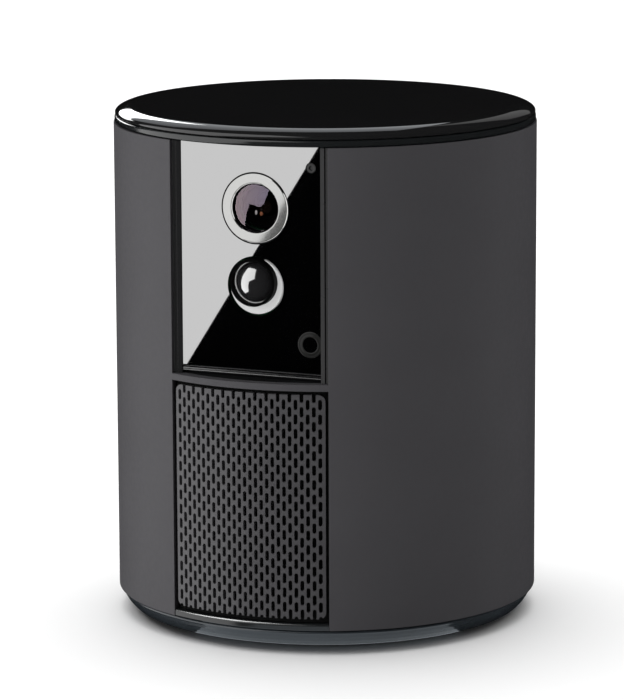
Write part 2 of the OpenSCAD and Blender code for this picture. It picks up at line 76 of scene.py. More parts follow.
def make_camera():
    place = Vector((0, -math.cos(ELEV), math.sin(ELEV))) * DISTANCE
    ahead = Vector((math.sin(YAW) * math.cos(PITCH), math.cos(YAW) * math.cos(PITCH), -math.sin(PITCH)))
    right = ahead.cross(Vector((0, 0, 1))).normalized()
    up = right.cross(ahead)
    c, s = math.cos(ROLL), math.sin(ROLL)
    right, up = c * right + s * up, c * up - s * right
    data = bpy.data.cameras.new("camera")
    data.sensor_width, data.lens = SENSOR_MM, FOCAL_MM
    data.clip_start, data.clip_end = 0.05, 30
    cam = bpy.data.objects.new("camera", data)
    bpy.context.scene.collection.objects.link(cam)
    m = Matrix.Identity(4)
    for i, axis in enumerate((turn(right), turn(up), -turn(ahead))):
        m[0][i], m[1][i], m[2][i] = axis
    m.translation = turn(place) + AIM
    cam.matrix_world = m
    bpy.context.scene.camera = cam
    return cam.matrix_world.translation.copy()


EYE = make_camera()

# ---------------------------------------------------------------- materials

LOOKS = {}                   # every material by its name


class Nodes:
    """Short-hand for a material's node tree around one Principled shader."""

    def __init__(self, name):
        self.mat = LOOKS[name] = bpy.data.materials.new(name)
        self.mat.use_nodes = True
        self.tree = self.mat.node_tree
        self.tree.nodes.clear()
        self.out = self.add("ShaderNodeOutputMaterial")
        self.bsdf = self.add("ShaderNodeBsdfPrincipled")
        self.link(self.bsdf.outputs[0], self.out.inputs[0])
        self.coord = self.add("ShaderNodeTexCoord").outputs["Object"]

    def add(self, kind, **values):
        node = self.tree.nodes.new(kind)
        for key, value in values.items():
            if key in node.inputs.keys():
                node.inputs[key].default_value = value
            else:
                setattr(node, key, value)
        return node

    def link(self, a, b):
        self.tree.links.new(a, b)

    def set(self, **values):
        for key, value in values.items():
            self.bsdf.inputs[key.replace("_", " ")].default_value = value

    def noise(self, scale, detail=2.0, rough=0.5, stretch=None):
        """Noise in object space; scale is in features per metre, stretch scales the axes."""
        vec = self.coord
        if stretch:
            mapping = self.add("ShaderNodeMapping")
            mapping.inputs["Scale"].default_value = stretch
            self.link(vec, mapping.inputs["Vector"])
            vec = mapping.outputs[0]
        node = self.add("ShaderNodeTexNoise", Scale=scale, Detail=detail, Roughness=rough)
        self.link(vec, node.inputs["Vector"])
        return node.outputs[0]

    def ramp(self, fac, stops):
        """A colour ramp through the (position, colour) stops."""
        node = self.add("ShaderNodeValToRGB")
        els = node.color_ramp.elements
        while len(els) < len(stops):
            els.new(0.5)
        for el, (pos, col) in zip(els, stops):
            el.position, el.color = pos, (*col, 1)
        self.link(fac, node.inputs[0])
        return node.outputs[0]

    def spread(self, fac, low, high, a=0.3, b=0.7):
        """Maps a to b, where most of a noise lies, to low to high."""
        node = self.add("ShaderNodeMapRange")
        for key, value in (("From Min", a), ("From Max", b), ("To Min", low), ("To Max", high)):
            node.inputs[key].default_value = value
        self.link(fac, node.inputs[0])
        return node.outputs[0]

    def bump(self, height, depth):
        """depth in metres."""
        node = self.add("ShaderNodeBump", Strength=1.0, Distance=depth)
        self.link(height, node.inputs["Height"])
        self.link(node.outputs[0], self.bsdf.inputs["Normal"])


def grey(v):
    return (v, v, v)


def scaled(c, k):
    return tuple(min(1, x * k) for x in c)


def plastic(name, color, rough, grain=0.0, grain_scale=5000, vary=0.06, rough_vary=0.05, smudge=0.0, **more):
    """Moulded plastic: slightly uneven colour and roughness, with a fine grain where it isn't polished."""
    n = Nodes(name)
    broad = n.noise(60, 3)
    n.link(n.ramp(broad, [(0.3, scaled(color, 1 - vary)), (0.7, scaled(color, 1 + vary))]),
           n.bsdf.inputs["Base Color"])
    fine = n.noise(900, 4)
    n.link(n.spread(fine, max(0, rough - rough_vary), rough + rough_vary), n.bsdf.inputs["Roughness"])
    if grain:
        n.bump(n.noise(grain_scale, 3, 0.6), grain)
    elif smudge:
        n.bump(n.noise(40, 1), smudge)
    n.set(**more)
    return n.mat


def metal(name, color, rough, stretch=None, grain=0.0, scale=2500, vary=0.08, **more):
    """Metal with fine streaks in its colour and roughness, drawn out along an axis by stretch."""
    n = Nodes(name)
    streak = n.noise(scale, 3, 0.5, stretch)
    n.link(n.ramp(streak, [(0.3, scaled(color, 1 - vary)), (0.7, scaled(color, 1 + vary))]),
           n.bsdf.inputs["Base Color"])
    n.link(n.spread(streak, rough * 0.8, rough * 1.2), n.bsdf.inputs["Roughness"])
    if grain:
        n.bump(streak, grain)
    n.set(Metallic=1.0, **more)
    return n.mat


def clear(name, color, rough=0.02):
    """Tinted glass or clear plastic."""
    n = Nodes(name)
    n.link(n.ramp(n.noise(300, 2), [(0.3, scaled(color, 0.97)), (0.7, color)]), n.bsdf.inputs["Base Color"])
    n.set(Roughness=rough, Transmission_Weight=1.0, IOR=1.5)
    return n.mat


def board(name, mask, copper):
    """Solder mask in slightly uneven cells, with fine copper tracks between them."""
    n = Nodes(name)
    brick = n.add("ShaderNodeTexBrick", Scale=700.0, offset=0.5, squash=1.0)
    brick.inputs["Color1"].default_value = (*mask, 1)
    brick.inputs["Color2"].default_value = (*scaled(mask, 1.35), 1)
    brick.inputs["Mortar"].default_value = (*copper, 1)
    brick.inputs["Mortar Size"].default_value = 0.06
    mapping = n.add("ShaderNodeMapping")
    mapping.inputs["Rotation"].default_value = (math.radians(90), 0, 0)
    n.link(n.coord, mapping.inputs["Vector"])
    n.link(mapping.outputs[0], brick.inputs["Vector"])
    n.link(brick.outputs["Color"], n.bsdf.inputs["Base Color"])
    n.link(n.spread(n.noise(1200, 2), 0.25, 0.42), n.bsdf.inputs["Roughness"])
    n.bump(brick.outputs["Fac"], 0.00003)
    return n.mat


# Name, colour and roughness; the depths of grain and smudge are in metres
plastic("shell_grey", (0.047, 0.0455, 0.0495), 0.6, grain=0.000012, grain_scale=6500,
        vary=0.03, rough_vary=0.04, Specular_IOR_Level=0.25)
plastic("lid_black", (0.0095, 0.0095, 0.0098), 0.035, vary=0.05, rough_vary=0.01, smudge=0.000004)
plastic("trim_gloss", (0.009, 0.01, 0.0105), 0.16, rough_vary=0.03, smudge=0.000004)
plastic("window_black", (0.0008, 0.0008, 0.0009), 0.008, vary=0.05, rough_vary=0.002, IOR=3.35)
plastic("frame_black", (0.009, 0.009, 0.0095), 0.3, vary=0.05, rough_vary=0.03, IOR=1.3)
plastic("ledge_black", (0.006, 0.006, 0.0065), 0.16, vary=0.05, rough_vary=0.03, IOR=1.25)
metal("lens_silver", (0.275, 0.275, 0.27), 0.03, vary=0.02)
plastic("optic_black", (0.002, 0.002, 0.002), 0.6, grain=0.00001, grain_scale=8000,
        Specular_IOR_Level=0.12)
clear("lens_glass", (0.9, 0.86, 0.92))
clear("clear_filter", (0.7, 0.85, 0.85))
plastic("shutter_grey", (0.25, 0.25, 0.26), 0.5, grain=0.00001)
metal("steel", (0.56, 0.56, 0.57), 0.3, stretch=(1, 1, 20))
metal("motor_metal", (0.4, 0.41, 0.42), 0.34, stretch=(1, 30, 1), grain=0.000004)
plastic("inner_black", (0.03, 0.03, 0.032), 0.5, grain=0.00001)
board("board_green", (0.012, 0.07, 0.035), (0.05, 0.16, 0.07))
plastic("chip_black", (0.018, 0.018, 0.018), 0.55, grain=0.00001)
plastic("sensor_glass", (0.012, 0.008, 0.006), 0.05, IOR=1.8)
plastic("pir_silver", (0.22, 0.22, 0.22), 0.4, grain=0.000002, vary=0.02)
plastic("dome_black", (0.012, 0.012, 0.0125), 0.1, rough_vary=0.02, IOR=1.9)
clear("lamp_clear", (0.85, 0.87, 0.9))
plastic("grille_grey", (0.05, 0.0485, 0.052), 0.4, grain=0.000008, grain_scale=6500,
        vary=0.04, rough_vary=0.05, Specular_IOR_Level=0.4)
plastic("cone_black", (0.02, 0.02, 0.02), 0.7, grain=0.00004, grain_scale=2500)
plastic("surround_rubber", (0.014, 0.014, 0.014), 0.6, grain=0.00001)
metal("copper", (0.72, 0.33, 0.16), 0.3, stretch=(1, 60, 1), grain=0.00001)
metal("magnet", (0.45, 0.45, 0.46), 0.36, grain=0.000006)
metal("heat_sink", (0.6, 0.6, 0.61), 0.32, stretch=(1, 1, 20), grain=0.000006)
metal("antenna_gold", (0.8, 0.6, 0.25), 0.25)
plastic("cable_white", (0.6, 0.57, 0.5), 0.4)
metal("port_metal", (0.6, 0.6, 0.6), 0.28, stretch=(1, 20, 1), grain=0.000004)
plastic("base_gloss", (0.026, 0.031, 0.036), 0.2, rough_vary=0.03, smudge=0.000004)
plastic("base_grey", (0.022, 0.022, 0.024), 0.55, grain=0.00003, grain_scale=3000)
plastic("feet_rubber", (0.012, 0.012, 0.012), 0.75, grain=0.00002, grain_scale=5000)
plastic("button_grey", (0.05, 0.05, 0.055), 0.5, grain=0.00001)
plastic("plunger_red", (0.3, 0.03, 0.02), 0.4, grain=0.00001)


def mesh_cloth():
    """Open acoustic cloth: a fine plain weave."""
    n = Nodes("mesh_black")
    waves = []
    for turn_deg in (35, -35):
        mapping = n.add("ShaderNodeMapping")
        mapping.inputs["Rotation"].default_value = (0, math.radians(turn_deg), 0)
        n.link(n.coord, mapping.inputs["Vector"])
        wave = n.add("ShaderNodeTexWave", Scale=900.0)
        n.link(mapping.outputs[0], wave.inputs["Vector"])
        waves.append(wave.outputs["Fac"])
    join = n.add("ShaderNodeMath", operation="MAXIMUM")
    n.link(waves[0], join.inputs[0])
    n.link(waves[1], join.inputs[1])
    n.link(n.ramp(join.outputs[0], [(0.2, grey(0.001)), (0.9, grey(0.006))]), n.bsdf.inputs["Base Color"])
    n.set(Roughness=0.9)
    n.bump(join.outputs[0], 0.00005)


mesh_cloth()
LAMP_LOOK = plastic("lamp_look", (0.012, 0.012, 0.0115), 0.14, vary=0.3, rough_vary=0.04, IOR=1.22)

for part in frame["record"]["subparts"]:
    obj = NODES[part["node"]]
    obj.data.materials.clear()
    obj.data.materials.append(LOOKS[part["material_slot"]])

# ---------------------------------------------------------------- mesh helpers


def new_object(name, bm, mat):
    """A piece of the case. mat is a slot's name, or a material that isn't a slot's."""
    mesh = bpy.data.meshes.new(name)
    bm.normal_update()
    bm.to_mesh(mesh)
    bm.free()
    for p in mesh.polygons:
        p.use_smooth = True
    mesh.materials.append(LOOKS[mat] if isinstance(mat, str) else mat)
    obj = bpy.data.objects.new(name, mesh)
    bpy.context.scene.collection.objects.link(obj)
    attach(obj, "case")
    return obj


def arc(cx, cz, r, a0, a1, n):
    """Points of an arc in the (r, z) half-plane, angles in degrees."""
    return [(cx + r * math.cos(math.radians(a0 + (a1 - a0) * i / n)),
             cz + r * math.sin(math.radians(a0 + (a1 - a0) * i / n))) for i in range(n + 1)]


TINY = 1e-6


def supported(profile, closed):
    """Adds a point close to each end of the long sides, so that a rounded edge doesn't shade the flat
    next to it."""
    near, out = 0.05, []
    n = len(profile)
    for i, (r, h) in enumerate(profile):
        out.append((r, h))
        if i == n - 1 and not closed:
            break
        r2, h2 = profile[(i + 1) % n]
        length = math.hypot(r2 - r, h2 - h)
        if length > 6 * near:
            for t in (near / length, 1 - near / length):
                out.append((r + (r2 - r) * t, h + (h2 - h) * t))
    return out


def lathe(name, profile, mat, segments=192, at=None, closed=True, a0=0.0, a1=360.0):
    """Turns a profile of (r, h) points in mm about the case's axis, or, with at=(x, z, d), about an axis that
    points to the front from there. a0 and a1 limit the turn."""
    bm = bmesh.new()
    profile = supported(profile, closed)
    full = abs(a1 - a0 - 360) < TINY
    count = segments if full else segments + 1
    rings = []
    for i in range(count):
        a = math.radians(a0 + (a1 - a0) * i / segments)
        ring = []
        for r, h in profile:
            if r < TINY and i and full:
                ring.append(rings[0][len(ring)])
                continue
            p = Vector((r * math.cos(a), r * math.sin(a), h))
            if at:
                x, z, d = at
                p = Vector((x + p.x, -(d + p.z), z + p.y))
            ring.append(bm.verts.new(p * MM))
        rings.append(ring)
    n = len(profile)
    last = n if closed else n - 1
    for i in range(segments):
        a, b = rings[i], rings[(i + 1) % count]
        for k in range(last):
            quad = [a[k], b[k], b[(k + 1) % n], a[(k + 1) % n]]
            unique = []
            for v in quad:
                if v not in unique:
                    unique.append(v)
            if len(unique) > 2:
                bm.faces.new(unique)
    if not full and closed:
        bm.faces.new(rings[0])
        bm.faces.new(list(reversed(rings[-1])))
    bmesh.ops.recalc_face_normals(bm, faces=bm.faces)
    obj = new_object(name, bm, mat)
    sharpen(obj)
    return obj


def sharpen(obj, angle=35):
    """Splits the shading at edges sharper than the angle."""
    bm = bmesh.new()
    bm.from_mesh(obj.data)
    limit = math.radians(angle)
    for e in bm.edges:
        e.smooth = not (e.is_boundary or (len(e.link_faces) == 2 and e.calc_face_angle(0) > limit))
    bm.to_mesh(obj.data)
    bm.free()


def bevel(obj, width, segments=3, angle=30):
    mod = obj.modifiers.new("bevel", "BEVEL")
    mod.width = width * MM
    mod.segments = segments
    mod.limit_method = "ANGLE"
    mod.angle_limit = math.radians(angle)
    mod.harden_normals = True


def apply_modifiers(obj):
    deps = bpy.context.evaluated_depsgraph_get()
    mesh = bpy.data.meshes.new_from_object(obj.evaluated_get(deps))
    old = obj.data
    obj.modifiers.clear()
    obj.data = mesh
    bpy.data.meshes.remove(old)


# ---------------------------------------------------------------- sizes from the frame


def mm_box(node):
    """A node's box in mm, with the front distance d = -y: x0, x1, d0, d1, z0, z1."""
    lo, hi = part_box(node)
    return [v / MM for v in (lo.x, hi.x, -hi.y, -lo.y, lo.z, hi.z)]


_, SHELL_R, _, _, SHELL_Z0, SHELL_Z1 = mm_box("body_shell")
_, LID_R, _, _, _, LID_TOP = mm_box("top_lid")
_, TRIM_R, _, _, TRIM_Z0, TRIM_Z1 = mm_box("top_trim_ring")
_, RING_R, _, _, RING_Z0, RING_Z1 = mm_box("base_ring")
_, _, _, GLASS_D, _, _ = mm_box("front_glass")
_, FRAME_X, FRAME_D0, _, SILL_Z0, FRAME_Z1 = mm_box("window_frame")
_, GRILLE_X, _, GRILLE_R, GRILLE_Z0, GRILLE_Z1 = mm_box("grille_panel")
_, STRIP_X, _, STRIP_R, STRIP_Z0, STRIP_Z1 = mm_box("lower_trim")
_, RING_OUT, _, RING_D, box_z0, box_z1 = mm_box("lens_ring")
LENS_Z = (box_z0 + box_z1) / 2
_, PIR_R, _, PIR_D1, box_z0, box_z1 = mm_box("pir_ring")
PIR_Z = (box_z0 + box_z1) / 2
_, COLLAR_R, _, COLLAR_D, box_z0, box_z1 = mm_box("pir_collar")
DOME_Z = (box_z0 + box_z1) / 2
_, DOME_R, _, DOME_D1, _, _ = mm_box("pir_dome")
_, COVER_RIM, _, COVER_D, _, _ = mm_box("lens_window")
box_x0, box_x1, _, MIC_D1, box_z0, box_z1 = mm_box("microphone")
MIC_X, MIC_Z = (box_x0 + box_x1) / 2, (box_z0 + box_z1) / 2
_, LAMP_X1, _, _, box_z0, box_z1 = mm_box("lamp_cups")
LAMP_R = (box_z1 - box_z0) / 2
LAMP_X, LAMP_Z = LAMP_X1 - LAMP_R, (box_z0 + box_z1) / 2

CUT_X = 17.5                 # half the width of the shell's cut-outs
SHELL_WALL = 2.2
BAR_TOP, BAR_H = 57.05, 1.4  # the bar between the window and the grille
ROUND_STEPS = 256            # segments round the widest pieces
DISC_R = 30                  # an inner ring of points keeps the wide flat faces even


def ball_radius(rim, rise):
    """The radius of the ball whose cap has this rim and rise."""
    return (rim ** 2 + rise ** 2) / (2 * rise)


def cap(rim, rise, steps):
    """The (r, h) points of a ball's cap, from its rim to its top, with h counted from the top."""
    ball = ball_radius(rim, rise)
    angles = [math.asin(rim / ball) * i / steps for i in range(steps, -1, -1)]
    return [(ball * math.sin(a), ball * (math.cos(a) - 1)) for a in angles]


COVER_RISE, COVER_WALL = 0.6, 0.25
DOME_RISE = DOME_D1 - GLASS_D
DOME_LIFT = 0.12             # the dome's rim stands this far off the glass

# ---------------------------------------------------------------- case


def make_shell():
    """The sleeve as a C in plan, closed by the bar between the window and the grille. around_n and bar_n are
    the steps round each of them."""
    radii = (SHELL_R, SHELL_R - SHELL_WALL)
    levels = [SHELL_Z0, BAR_TOP - BAR_H, BAR_TOP, SHELL_Z1]
    around_n, bar_n = 200, 26
    bm = bmesh.new()
    starts = [math.asin(CUT_X / r) for r in radii]

    def ring_point(r, a, z):
        return bm.verts.new(Vector((r * math.sin(a), -r * math.cos(a), z)) * MM)

    grid = [[[ring_point(r, a0 + (2 * math.pi - 2 * a0) * i / around_n, z) for i in range(around_n + 1)]
             for r, a0 in zip(radii, starts)] for z in levels]
    for k in range(3):
        (lo_out, lo_in), (hi_out, hi_in) = grid[k], grid[k + 1]
        for i in range(around_n):
            bm.faces.new((lo_out[i], lo_out[i + 1], hi_out[i + 1], hi_out[i]))
            bm.faces.new((lo_in[i], hi_in[i], hi_in[i + 1], lo_in[i + 1]))
        if k != 1:
            for i in (0, around_n):
                bm.faces.new((lo_out[i], hi_out[i], hi_in[i], lo_in[i]))
    for level in (0, 3):
        out, inn = grid[level]
        for i in range(around_n):
            bm.faces.new((out[i], out[i + 1], inn[i + 1], inn[i]))
    bar = []
    for level in (1, 2):
        rows = []
        for row, r, a0 in zip(grid[level], radii, starts):
            inner = [ring_point(r, a0 - 2 * a0 * i / bar_n, levels[level]) for i in range(1, bar_n)]
            rows.append([row[0]] + inner + [row[around_n]])
        bar.append(rows)
    (lo_out, lo_in), (hi_out, hi_in) = bar
    for i in range(bar_n):
        bm.faces.new((lo_out[i], lo_out[i + 1], hi_out[i + 1], hi_out[i]))
        bm.faces.new((lo_in[i], lo_in[i + 1], hi_in[i + 1], hi_in[i]))
        bm.faces.new((hi_out[i], hi_out[i + 1], hi_in[i + 1], hi_in[i]))
        bm.faces.new((lo_out[i], lo_out[i + 1], lo_in[i + 1], lo_in[i]))
    bmesh.ops.recalc_face_normals(bm, faces=bm.faces)
    shell = new_object("shell", bm, "shell_grey")
    cut_port(shell)
    bevel(shell, 0.28)
    apply_modifiers(shell)
    shell.visible_glossy = False        # what the glossy pieces mirror is left to the cards
    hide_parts("body_shell")


def cut_port(shell):
    """The rounded opening of the power inlet, low at the back."""
    x0, x1, _, _, z0, z1 = mm_box("port_recess")
    rim, inside, outside, steps = 1, SHELL_R - 6, SHELL_R + 4, 20
    half_w, half_h = (x1 - x0) / 2 - rim, (z1 - z0) / 2 - rim
    mid = (z0 + z1) / 2
    outline = []
    for side, start in ((1, -90), (-1, 90)):
        for i in range(steps + 1):
            a = math.radians(start + 180 * i / steps)
            outline.append((side * (half_w - half_h) + half_h * math.cos(a), mid + half_h * math.sin(a)))
    bm = bmesh.new()
    near = [bm.verts.new(Vector((x, inside, z)) * MM) for x, z in outline]
    far = [bm.verts.new(Vector((x, outside, z)) * MM) for x, z in outline]
    bm.faces.new(near)
    bm.faces.new(list(reversed(far)))
    n = len(outline)
    for i in range(n):
        bm.faces.new((near[i], far[i], far[(i + 1) % n], near[(i + 1) % n]))
    bmesh.ops.recalc_face_normals(bm, faces=bm.faces)
    mesh = bpy.data.meshes.new("port_cutter")
    bm.to_mesh(mesh)
    bm.free()
    cutter = bpy.data.objects.new("port_cutter", mesh)
    bpy.context.scene.collection.objects.link(cutter)
    mod = shell.modifiers.new("port", "BOOLEAN")
    mod.object, mod.operation, mod.solver = cutter, "DIFFERENCE", "EXACT"
    apply_modifiers(shell)
    bpy.data.objects.remove(cutter)


def make_lid():
    """A disc with a small lower corner and a wide crown that ends in the flat top."""
    r, z0, top = LID_R, TRIM_Z1 + 0.1, LID_TOP
    crown, corner, steps = 4.6, 0.4, 36
    rise = top - z0 - corner
    profile = [(0, z0), (DISC_R, z0), (r - corner - 0.3, z0)]
    profile += arc(r - corner, z0 + corner, corner, -90, 0, 6)[1:]
    for i in range(1, steps + 1):
        t = math.radians(90 * i / steps)
        profile.append((r - crown * (1 - math.cos(t)), z0 + corner + rise * math.sin(t)))
    profile += [(r - crown - 0.6, top), (DISC_R, top), (DISC_R / 2, top), (0, top)]
    lid = lathe("lid", profile, "lid_black", segments=ROUND_STEPS, closed=False)
    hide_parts("top_lid")


def make_trim():
    r, z0, z1, c, bore = TRIM_R, TRIM_Z0, TRIM_Z1, 0.45, 38.1
    profile = [(bore, z0)] + arc(r - c, z0 + c, c, -90, 0, 6) + arc(r - c, z1 - c, c, 0, 90, 6) + [(bore, z1)]
    ring = lathe("trim_ring", profile, "trim_gloss", segments=ROUND_STEPS)
    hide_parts("top_trim_ring")


def make_base_ring():
    """The foot ring: a rounded tread, a flare that gets steeper, and a rounded top edge."""
    z0, z1, bore, tread, c, edge = RING_Z0, RING_Z1, 38, 41.8, 0.9, 0.45
    profile = [(bore, z0), (tread, z0)] + arc(tread, z0 + c, c, -90, -40, 6)[1:]
    profile += [(43.2, z0 + 1.1), (43.8, z0 + 2.0), (44.1, z1 - 0.75)]
    profile += arc(RING_R - edge, z1 - edge, edge, 0, 80, 5) + [(bore, z1)]
    ring = lathe("foot_ring", profile, "base_gloss", segments=ROUND_STEPS)
    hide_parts("base_ring")


# ---------------------------------------------------------------- window


def prism(bm, outline, lo, hi, place):
    """Extrudes a closed outline of (u, v) from lo to hi; place(u, v, w) gives the point in mm."""
    ends = [[bm.verts.new(place(u, v, w) * MM) for u, v in outline] for w in (lo, hi)]
    bm.faces.new(ends[0])
    bm.faces.new(list(reversed(ends[1])))
    n = len(outline)
    for i in range(n):
        bm.faces.new((ends[0][i], ends[1][i], ends[1][(i + 1) % n], ends[0][(i + 1) % n]))


def upright(x, d, z):
    return Vector((x, -d, z))


def sideways(d, z, x):
    return Vector((x, -d, z))


RIM_X, RIM_D = 15.5, GLASS_D + 2.6      # the jambs' inner corner
JAMB_X = FRAME_X - 0.6


def make_frame():
    """The two jambs and the sill. Each jamb has a splayed wall, a flat rim and a groove next to the shell."""
    bm = bmesh.new()
    for side in (-1, 1):
        plan = [(JAMB_X, FRAME_D0), (JAMB_X, GLASS_D + 0.8), (RIM_X, RIM_D - 0.4), (RIM_X, RIM_D),
                (JAMB_X - 0.3, RIM_D + 0.15), (JAMB_X - 0.25, RIM_D - 0.2), (FRAME_X, RIM_D - 0.12),
                (FRAME_X, FRAME_D0)]
        prism(bm, [(side * x, d) for x, d in plan], BAR_TOP, FRAME_Z1, upright)
    sill_r = SHELL_R - SHELL_WALL - 0.05
    half = math.asin(FRAME_X / sill_r)
    angles = [half - half * i / 12 for i in range(25)]
    front = [(sill_r * math.sin(a), sill_r * math.cos(a)) for a in angles]
    prism(bm, [(FRAME_X, FRAME_D0)] + front + [(-FRAME_X, FRAME_D0)], SILL_Z0, BAR_TOP, upright)
    bmesh.ops.recalc_face_normals(bm, faces=bm.faces)
    surround = new_object("window_surround", bm, "frame_black")
    bevel(surround, 0.07, 2)
    apply_modifiers(surround)
    surround.visible_glossy = False
    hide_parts("window_frame")


def make_ledge():
    """The ledge under the glass: a bead along its foot, a groove and a narrow lip."""
    back, bead_d, bead, foot, slack = FRAME_D0 - GLASS_D, 0.75, 0.35, 0.01, 0.005
    shape = [(back, foot), (bead_d, foot)] + arc(bead_d, foot + bead, bead, -60, 100, 8)
    shape += [(0.5, 0.62), (0.36, 0.95)]                                        # the groove
    shape += [(0.58, 1.02), (0.6, 1.3), (0.4, 1.45), (0.02, 1.45)]              # the lip
    shape += [(0.02, 1.0), (back, 1.0)]
    bm = bmesh.new()
    prism(bm, [(GLASS_D + d, BAR_TOP + z) for d, z in shape], slack - JAMB_X, JAMB_X - slack, sideways)
    bmesh.ops.recalc_face_normals(bm, faces=bm.faces)
    ledge = new_object("window_ledge", bm, LOOKS["ledge_black"])
    bevel(ledge, 0.04, 1)
    apply_modifiers(ledge)
    ledge.visible_glossy = False


HOLE_R = 5.1                 # the lens ring's bore
ELEMENT_R, ELEMENT_RISE = 1.6, 0.5
# Painted glints deep in the lens, small discs whose pale or amber colour and faint glow paint in glints of
# light: name, x, z, radius, height over width, colour, and strength of the glow
PAINTED_GLINT_D = 32.6
PAINTED_GLINTS = (("pale_coating", -2.08, 90.35, 0.24, 2.0, (0.8, 0.8, 0.74), 0.35),
            ("amber_coating", -0.9, 90.15, 0.34, 1.25, (0.5, 0.2, 0.09), 0.08))


def make_lens_cover():
    """A thin domed cover, not solid, so that it doesn't bend the view of the lens behind it."""
    skin, taper = cap(COVER_RIM, COVER_RISE, 24), 0.985
    profile = skin + [(r * taper, h - COVER_WALL) for r, h in reversed(skin)]
    cover = lathe("lens_cover", profile, "lens_glass", segments=120, at=(0, LENS_Z, COVER_D))
    cover.visible_shadow = False        # so that the closed shutter behind it is lit
    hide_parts("lens_window")


def make_lens_elements():
    """The small front element of the lens, set low and to the left in its cell."""
    _, r, d0, d1, _, _ = mm_box("lens_elements")
    profile = [(0.0, d0 - d1), (ELEMENT_R, d0 - d1), (ELEMENT_R, -ELEMENT_RISE)]
    profile += [(ELEMENT_R * math.cos(math.radians(t)), ELEMENT_RISE * (math.sin(math.radians(t)) - 1))
                for t in range(10, 90, 8)]
    off = (r - ELEMENT_R) * 0.68        # most of the way to the cell's wall
    stack = lathe("lens_stack", profile + [(0.0, 0.0)], "sensor_glass", segments=72,
                  at=(-off, LENS_Z - off, d1), closed=False)
    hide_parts("lens_elements")


def painted_glint_look(name, color, strength):
    """A painted glint: a disc whose colour and faint glow paint in the light from outside, which a closed
    cover keeps from it.
    """
    n = Nodes(name)
    n.link(n.ramp(n.noise(4000, 2), [(0.3, scaled(color, 0.55)), (0.7, color)]), n.bsdf.inputs["Base Color"])
    # The emission is painted light: it makes the disc glow like a glint, though it is no lamp
    n.link(n.ramp(n.noise(2500, 2), [(0.35, scaled(color, 0.3)), (0.65, color)]),
           n.bsdf.inputs["Emission Color"])
    n.set(Emission_Strength=strength, Roughness=0.3)
    return n.mat


def make_painted_glints():
    """The painted glints, a pale one and an amber one, low and to the left: small glowing discs that stand in
    for glints of light.
    """
    for name, x, z, r, tall, color, strength in PAINTED_GLINTS:
        back, bulge = -0.06, 0.3 * r
        profile = [(0.0, back), (r, back)]
        profile += [(r * math.cos(math.radians(t)), bulge * math.sin(math.radians(t)))
                    for t in range(0, 90, 10)]
        face = lathe(name, profile + [(0.0, bulge)], painted_glint_look(name, color, strength), segments=48,
                     at=(x, z, PAINTED_GLINT_D), closed=False)
        for v in face.data.vertices:
            v.co.z = z * MM + (v.co.z - z * MM) * tall


def make_lens_ring():
    """A flat ring with rounded edges. The lens cover mirrors neither it nor the dark pieces round it."""
    c, root = 0.26, -2.6
    profile = [(HOLE_R, root), (RING_OUT, root)]
    profile += arc(RING_OUT - c, -c, c, 0, 90, 6) + arc(HOLE_R + c, -c, c, 90, 180, 6)
    ring = lathe("lens_trim", profile, "lens_silver", segments=160, at=(0, LENS_Z, RING_D))
    ring.visible_glossy = False
    for dark in ("lens_sleeve", "front_glass"):
        NODES[dark].visible_glossy = False
    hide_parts("lens_ring")


def make_motion_sensor():
    """The collar, a thin pale seat inside it, the flat ring just right of the middle, and the dome."""
    root = GLASS_D - 1
    out, depth = COLLAR_R - 0.13, COLLAR_D - root
    bore = out - 0.6
    profile = [(bore, 0), (out, 0)] + arc(out - 0.2, depth - 0.2, 0.2, 0, 90, 5)
    profile += arc(bore + 0.1, depth - 0.1, 0.1, 90, 180, 4)
    collar = lathe("sensor_collar", profile, "optic_black", segments=120, at=(0, DOME_Z, root))
    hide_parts("pir_collar")
    seat_in, seat_out, slope, proud = 4.24, 4.36, 0.02, 0.12
    profile = [(seat_in, 0.0), (seat_in + slope, proud), (seat_out - slope, proud), (seat_out, 0.0)]
    seat = lathe("sensor_seat", profile, "pir_silver", segments=120, at=(0, DOME_Z, GLASS_D + 0.5))
    r, c = PIR_R - 0.4, 0.12
    profile = [(0, -1), (r, -1)] + arc(r - c, -c, c, 0, 90, 5) + [(0, 0)]
    ring = lathe("sensor_ring", profile, "pir_silver", segments=120, at=(0.2, PIR_Z, PIR_D1), closed=False)
    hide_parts("pir_ring")
    profile = [(DOME_R - 0.5, -3), (DOME_R + c, -3)] + arc(DOME_R, 0.0, c, 0, 90, 3)
    profile += [(r, h + DOME_RISE) for r, h in cap(DOME_R, DOME_RISE, 28)[1:]]
    dome = lathe("sensor_dome", profile, "dome_black", segments=120, at=(0, DOME_Z, GLASS_D + DOME_LIFT),
                 closed=False)
    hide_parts("pir_dome")


def make_lamp_port():
    """Faint stepped rings where the right lamp stands close behind the dark window."""
    out, step = 2.75, 0.035
    profile = [(out, -0.2)]
    for r0, r1 in ((out, 2.35), (2.1, 1.75)):
        profile += [(r0, 0.0), (r0 - 0.12, step), (r1 + 0.05, step), (r1, 0.0)]
    profile += [(1.2, -0.05), (0.6, -0.09), (0.0, -0.1)]
    port = lathe("lamp_port", profile, LAMP_LOOK, segments=96, at=(LAMP_X, LAMP_Z, GLASS_D + 0.012),
                 closed=False)


def make_microphone():
    """A round port with a rounded rim and a shallow dish."""
    c, dish, root = 0.12, -0.3, -4.0
    profile = [(0.0, dish), (0.4, dish), (0.45, -0.2)] + arc(0.57, -c, c, 180, 90, 3)
    profile += arc(0.92, -c, c, 90, 0, 3) + [(1.05, root), (0.0, root)]
    mic = lathe("mic_port", profile, "chip_black", segments=48, at=(MIC_X, MIC_Z, MIC_D1), closed=False)
    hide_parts("microphone")


